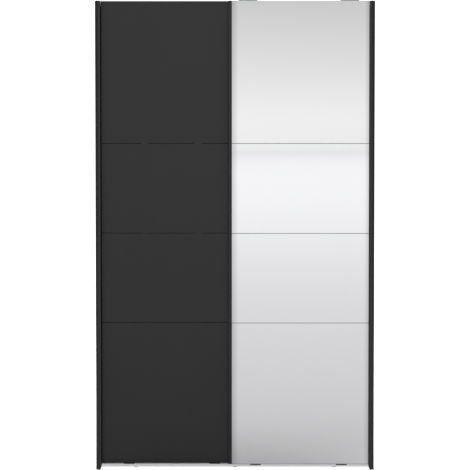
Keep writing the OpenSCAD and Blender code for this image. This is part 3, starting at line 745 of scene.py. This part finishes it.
# ---- Left door: four plain boards ----
# 16 mm black melamine boards with thin black edging on every edge, stacked with a narrow joint
# and held by two steel tie rails behind. Their foil is darker than the carcass.
door_black = "#131212"
door_foil = melamine("melamine_foil_doors", door_black, 0.44)
board_arris = 0.0007

for i in range(1, 5):
    node = "left_door_panel_%d" % i
    low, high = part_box(node)
    make_piece(
        node + "_board", [slab(low, high, board_arris)], [door_foil, edging],
        "left_door", "door_board", node,
        choose=lambda centre, normal: 1 if abs(normal.y) < 0.9 else 0,
    )

# ---- Right door: backing boards and mirror panes ----
# 4 mm float glass, silvered and painted grey behind, with ground edges that look sea green.
# Each pane is bonded to a 12 mm black board that is a little smaller.
silver = "#e4e4e5"
glass_green = "#3f5a50"
back_grey = "#6f7377"
pane_arris = 0.0006
dim_width = 0.032
dim_right = 0.7 * dim_width
# The darker silver of the painted shade near the pane's long edges.
edge_shade_tone = "#c6c6c8"
glass_green_dark = "#2c433b"
haze_size = 0.06
ground_grain = 0.002

silvered, tree, shader = new_finish("silvered_float_glass", Metallic=1.0)
at = add_node(tree, "ShaderNodeTexCoord").outputs["Object"]
cross = add_node(tree, "ShaderNodeSeparateXYZ", {"Vector": at})
pane_low, pane_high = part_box("mirror_pane_1")
# Painted shade: the reflection is dimmer near the two long edges, and is drawn as a darker tone of silver.
from_left = add_node(tree, "ShaderNodeMapRange", {
    "Value": cross.outputs["X"], "From Min": pane_low.x, "From Max": pane_low.x + dim_width,
}, interpolation_type="SMOOTHSTEP")
from_right = add_node(tree, "ShaderNodeMapRange", {
    "Value": cross.outputs["X"], "From Min": pane_high.x, "From Max": pane_high.x - dim_right,
}, interpolation_type="SMOOTHSTEP")
clear = add_node(
    tree, "ShaderNodeMath", {0: from_left.outputs["Result"], 1: from_right.outputs["Result"]},
    operation="MULTIPLY",
)
edge_shade_mix = add_node(tree, "ShaderNodeMix", {"Factor": clear.outputs["Value"]}, data_type="RGBA")
edge_shade_mix.inputs["A"].default_value = linear(edge_shade_tone)
edge_shade_mix.inputs["B"].default_value = linear(silver)
haze = add_node(tree, "ShaderNodeTexNoise", {"Vector": at, "Scale": 1 / haze_size, "Detail": 4.0})
film = add_node(tree, "ShaderNodeMapRange", {"Value": haze.outputs["Fac"], "To Min": 0.015, "To Max": 0.04})
tree.links.new(edge_shade_mix.outputs["Result"], shader.inputs["Base Color"])
tree.links.new(film.outputs["Result"], shader.inputs["Roughness"])

ground_edge, tree, shader = new_finish("ground_glass_edge", IOR=1.52, Roughness=0.3)
at = add_node(tree, "ShaderNodeTexCoord").outputs["Object"]
grind = add_node(tree, "ShaderNodeTexNoise", {"Vector": at, "Scale": 1 / ground_grain, "Detail": 3.0})
green = add_node(tree, "ShaderNodeValToRGB", {"Fac": grind.outputs["Fac"]})
green.color_ramp.elements[0].color = linear(glass_green_dark)
green.color_ramp.elements[1].color = linear(glass_green)
tree.links.new(green.outputs["Color"], shader.inputs["Base Color"])
mirror_back = moulded("mirror_backing_paint", back_grey, 0.6)

for i in range(1, 5):
    node = "right_door_panel_%d" % i
    low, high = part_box(node)
    make_piece(
        node + "_board", [slab(low, high, board_arris)], [door_foil, edging],
        "right_door", "door_board", node,
        choose=lambda centre, normal: 1 if abs(normal.y) < 0.9 else 0,
    )
    node = "mirror_pane_%d" % i
    low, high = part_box(node)
    make_piece(
        node + "_glass", [slab(low, high, pane_arris, 2)], [silvered, ground_edge, mirror_back],
        "right_door", "mirror_glass", node,
        choose=lambda centre, normal: 0 if normal.y < -0.95 else 2 if normal.y > 0.95 else 1,
    )

# ---- Grip profiles ----
# Aluminium edges, extruded and black anodised to a dark satin, with two fine grooves down the
# front and a tongue that is pressed into the boards. The ends are closed by nylon caps.
black_anodised = metal("black_anodised_aluminium", "#3d3d3f", 0.36, brush=(1, 1, 0.02), grain=0.0012)
groove_half = 0.0004
groove_depth = 0.0005
grip_round = 0.0012
inner_round = 0.0006
grip_width = 0.014
tongue_back = 0.010
tongue_half = 0.00075
cap_t = 0.0015
for node, body, meeting in (
    ("left_door_edge_profile", "left_door", 1), ("right_door_edge_profile", "right_door", -1),
):
    low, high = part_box(node)
    edge = high.x if meeting > 0 else low.x
    inner = edge - meeting * grip_width
    tongue = low.x if meeting > 0 else high.x
    front, back = low.y, high.y
    middle = front + tongue_back
    corners = [(inner, front)]
    radii = [inner_round]
    for share in (0.3, 0.7):
        at_x = inner + (edge - inner) * share
        corners += [
            (at_x - meeting * groove_half, front), (at_x, front + groove_depth),
            (at_x + meeting * groove_half, front),
        ]
        radii += [0, 0, 0]
    corners += [
        (edge, front), (edge, back), (inner, back),
        (inner, middle + tongue_half), (tongue, middle + tongue_half),
        (tongue, middle - tongue_half), (inner, middle - tongue_half),
    ]
    radii += [grip_round, grip_round, inner_round, 0, 0, 0, 0]
    cut_low, cut_high = low.z + cap_t, high.z - cap_t
    profile = drawn(softened(corners, radii), cut_low, cut_high, "z", 0.0002)
    cap_outline = softened(
        [(inner, front), (edge, front), (edge, back), (inner, back)],
        [inner_round, grip_round, grip_round, inner_round],
    )
    caps = [drawn(cap_outline, *ends, "z", 0.0003) for ends in ((low.z, cut_low), (cut_high, high.z))]
    make_piece(
        node + "_grip", [profile] + caps, [black_anodised, nylon_black],
        body, "black_anodised_aluminium", node,
        choose=lambda centre, normal, a=cut_low, b=cut_high: 0 if a <= centre.z <= b else 1,
    )

# ---- Tie rails ----
# Zinc plated steel strips, screwed up the backs of each door's boards to hold them in one
# plane. They have the same dull grey as the wall brackets.
for side in ("left", "right"):
    node = side + "_door_tie_rails"
    strips = [slab(low, high, 0.0006, 2) for low, high in solids_of(node)]
    make_piece(node + "_strips", strips, [galvanised], side + "_door", "galvanised_steel", node)

# ---- Carriage brackets ----
# Pressed from 2.5 mm zinc plated steel: a flat plate for the rear door, and for the front door
# a bent one that reaches over the rear door to the second rail.
steel_t = 0.0025
bend = 0.003
plate_corner = 0.006
drop_rise = 0.0033
tab_back = 0.009
tab_width = 0.0086
tab_round = 0.0015

plates = []
for low, high in solids_of("left_carriage_brackets"):
    face = softened([(low.x, low.z), (high.x, low.z), (high.x, high.z), (low.x, high.z)], plate_corner, 6)
    plates.append(drawn(face, low.y, high.y, "y", 0.0003))
make_piece(
    "left_carriage_plates", plates, [galvanised], "left_door", "galvanised_steel", "left_carriage_brackets",
)

adjusters = solids_of("right_height_adjusters")
arms = []
for low, high in solids_of("right_carriage_brackets"):
    arm_top = adjusters[0][0].z
    drop_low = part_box("right_wheel_1")[0].z + drop_rise
    path = [(high.y, drop_low), (high.y, arm_top), (low.y, arm_top), (low.y, low.z)]
    arms.append(drawn(bent_strip(path, steel_t, bend), low.x, high.x, "x", cut_edge, strip=True))
    tab_y = low.y + tab_back
    for start in (low.x, high.x - tab_width):
        end = start + tab_width
        tab = softened(
            [(start, arm_top - 0.001), (end, arm_top - 0.001), (end, high.z), (start, high.z)],
            [0, 0, tab_round, tab_round],
        )
        arms.append(drawn(tab, tab_y, tab_y + steel_t, "y", 0.0003))
make_piece(
    "right_carriage_arms", arms, [galvanised], "right_door", "galvanised_steel", "right_carriage_brackets",
)

# ---- Height adjusters ----
# A moulded black housing with a ribbed cover on each front carriage, and a fluted knob beside it
# that raises or lowers the door.
flutes = 14
cuts = (0.0006, 0.0002, 0.0001, 0.0002)
knob_limit = 0.02
knob_edge = 0.0006
cover_ribs = 6
rib_rise = 0.0006
rib_width = 0.0024
rib_inset = 0.0015
housings = []
for low, high in adjusters:
    width = high.x - low.x
    if width > knob_limit:
        housings.append(slab(low, (high.x, high.y, high.z - rib_rise), 0.001))
        for k in range(cover_ribs):
            start = low.x + width * (k + 0.7) / (cover_ribs + 0.4) - rib_width / 2
            housings.append(slab(
                (start, low.y + rib_inset, high.z - rib_rise - 0.0002),
                (start + rib_width, high.y - rib_inset, high.z), 0.0003, 2,
            ))
    else:
        centre = (low + high) / 2
        rim = []
        for k in range(flutes * len(cuts)):
            turn = math.tau * k / (flutes * len(cuts))
            radius = width / 2 - cuts[k % len(cuts)]
            rim.append(Vector((centre.x + math.cos(turn) * radius, centre.y + math.sin(turn) * radius)))
        housings.append(drawn(rim, low.z, high.z, "z", knob_edge))
make_piece(
    "right_adjuster_housings", housings, [nylon_black],
    "right_door", "black_nylon", "right_height_adjusters",
)

# ---- Wheels ----
# Grooved wheels of natural nylon, a milky white, that run on the rail's round ribs. They keep
# their own shape.
nylon_white = moulded("natural_nylon", "#e6e3d8", 0.42)
for side in ("left", "right"):
    for i in range(1, 5):
        dress("%s_wheel_%d" % (side, i), nylon_white)

# ---- Door guides ----
# Black nylon feet screwed behind each door's lower edge. Each one straddles a rib of the track,
# and its lower edge is notched so that dust can fall through.
notch_half = 0.002
notch_deep = 0.002
notch_pitch = 0.013
straddle_half = 0.0015
bridge = 0.001
foot_edge = 0.0003
moulded_edge = 0.0004
tab_t = 0.003
tab_corner = 0.004
for side, face in (("left", rear_face), ("right", door_face)):
    node = side + "_door_guides"
    door_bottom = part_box(side + "_door_edge_profile")[0].z
    foot_top = door_bottom - bridge
    feet = []
    for low, high in solids_of(node):
        centre = (low.x + high.x) / 2
        rib = face + half_door
        comb = [(low.x, low.z)]
        for n in (-1, 0, 1):
            at_x = centre + n * notch_pitch
            comb += [
                (at_x - notch_half, low.z), (at_x - notch_half, low.z + notch_deep),
                (at_x + notch_half, low.z + notch_deep), (at_x + notch_half, low.z),
            ]
        comb += [(high.x, low.z), (high.x, foot_top), (low.x, foot_top)]
        radii = [0.001] + [moulded_edge] * (len(comb) - 4) + [0.001, 0, 0]
        comb_outline = softened(comb, radii, 3)
        feet.append(drawn(comb_outline, low.y, rib - straddle_half, "y", foot_edge))
        feet.append(drawn(comb_outline, rib + straddle_half, high.y, "y", foot_edge))
        under_door = (high.x, high.y, door_bottom - 0.00005)
        feet.append(slab((low.x, low.y, foot_top - foot_edge), under_door, moulded_edge, 2))
        tab = softened(
            [(low.x, foot_top), (high.x, foot_top), (high.x, high.z), (low.x, high.z)],
            [0, 0, tab_corner, tab_corner], 5,
        )
        feet.append(drawn(tab, high.y - tab_t, high.y, "y", moulded_edge))
    make_piece(node + "_feet", feet, [nylon_black], side + "_door", "black_nylon", node)
